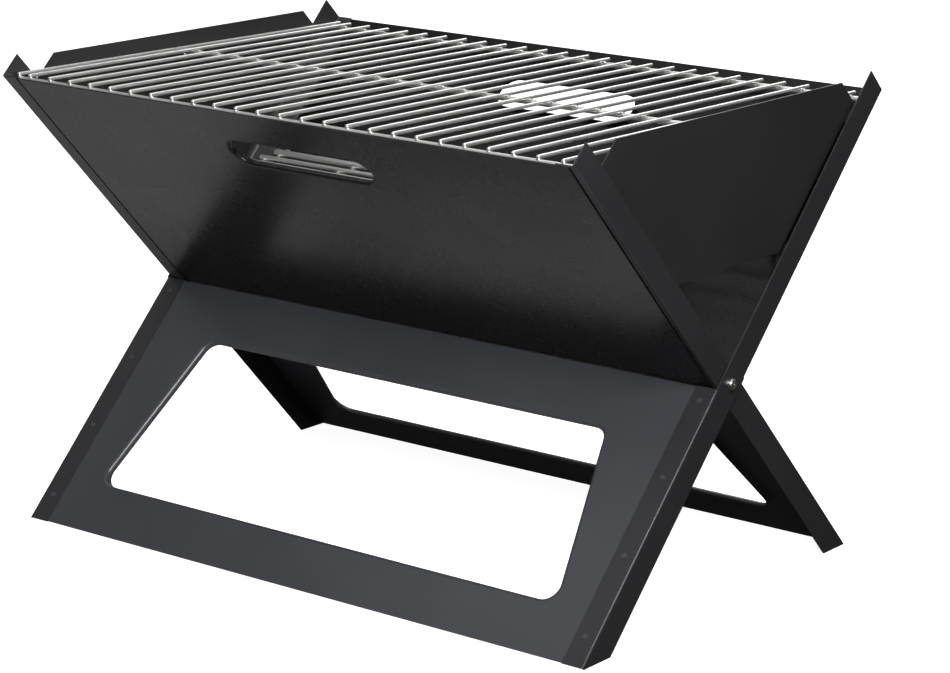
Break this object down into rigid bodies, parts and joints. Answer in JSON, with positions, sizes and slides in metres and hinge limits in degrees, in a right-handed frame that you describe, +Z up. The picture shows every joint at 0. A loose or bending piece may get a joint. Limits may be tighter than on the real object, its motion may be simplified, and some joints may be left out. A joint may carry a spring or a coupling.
{
  "type": "folding camp grill",
  "caption": "Folding charcoal camp grill: two crossed sheet steel frames on side pivots, with sliding end plates, a lift-out wire cooking grid and a charcoal grate.",
  "frame": {"origin": "on the floor, midway between the two pivots and midway between the front and rear feet", "axes": "+X along the pivot axis to the right, +Y from the front to the rear, +Z up"},
  "size_m": [0.455, 0.3374, 0.3137],
  "materials": {
    "black_enamel": "satin dark grey heat-resistant enamel",
    "chromed_wire": "bright",
    "plated_hardware": "zinc plated"
  },
  "bodies": {
    "outer_frame": {"outer_rail_left": "black_enamel", "outer_rail_right": "black_enamel", "rear_wall_panel": "black_enamel", "front_leg_panel": "black_enamel", "front_leg_rivets": "black_enamel", "rear_grid_rests": "black_enamel", "pivot_screws": "plated_hardware", "pivot_washers": "plated_hardware", "pivot_nuts": "plated_hardware", "hinge_pin_left": "plated_hardware", "hinge_pin_right": "plated_hardware", "hinge_lug_left": "black_enamel", "hinge_lug_right": "black_enamel"},
    "inner_frame": {"inner_rail_left": "black_enamel", "inner_rail_right": "black_enamel", "front_wall_panel": "black_enamel", "rear_leg_panel": "black_enamel", "rear_leg_rivets": "black_enamel", "front_grid_rests": "black_enamel"},
    "end_plate_left": {"end_plate_left": "black_enamel"},
    "end_plate_right": {"end_plate_right": "black_enamel"},
    "cooking_grid": {"grid_wires": "chromed_wire", "grid_cross_rods": "chromed_wire"},
    "charcoal_grate": {"grate_bars": "chromed_wire", "grate_cross_wires": "chromed_wire"}
  },
  "joints": [
    {"name": "fold", "type": "hinge", "parent": "outer_frame", "child": "inner_frame", "pos_m": [0, 0, 0.1405], "axis": [-1, 0, 0], "range_deg": [0, 88.4]},
    {"name": "end_plate_left_lift", "type": "slide", "parent": "outer_frame", "child": "end_plate_left", "axis": [0, 0.6972, 0.7169], "range_m": [0, 0.464]},
    {"name": "end_plate_right_lift", "type": "slide", "parent": "outer_frame", "child": "end_plate_right", "axis": [0, 0.6972, 0.7169], "range_m": [0, 0.464]},
    {"name": "cooking_grid_lift", "type": "slide", "parent": "outer_frame", "child": "cooking_grid", "axis": [0, 0.6972, 0.7169], "range_m": [0, 0.464]},
    {"name": "charcoal_grate_lift", "type": "slide", "parent": "outer_frame", "child": "charcoal_grate", "axis": [0, 0.4695, 0.8829], "range_m": [0, 0.372]}
  ],
  "couplings": [
    {"joint": "end_plate_left_lift", "follows": "fold", "m_per_rad": 0.3},
    {"joint": "end_plate_right_lift", "follows": "fold", "m_per_rad": 0.3},
    {"joint": "cooking_grid_lift", "follows": "fold", "m_per_rad": 0.3},
    {"joint": "charcoal_grate_lift", "follows": "fold", "m_per_rad": 0.24}
  ]
}
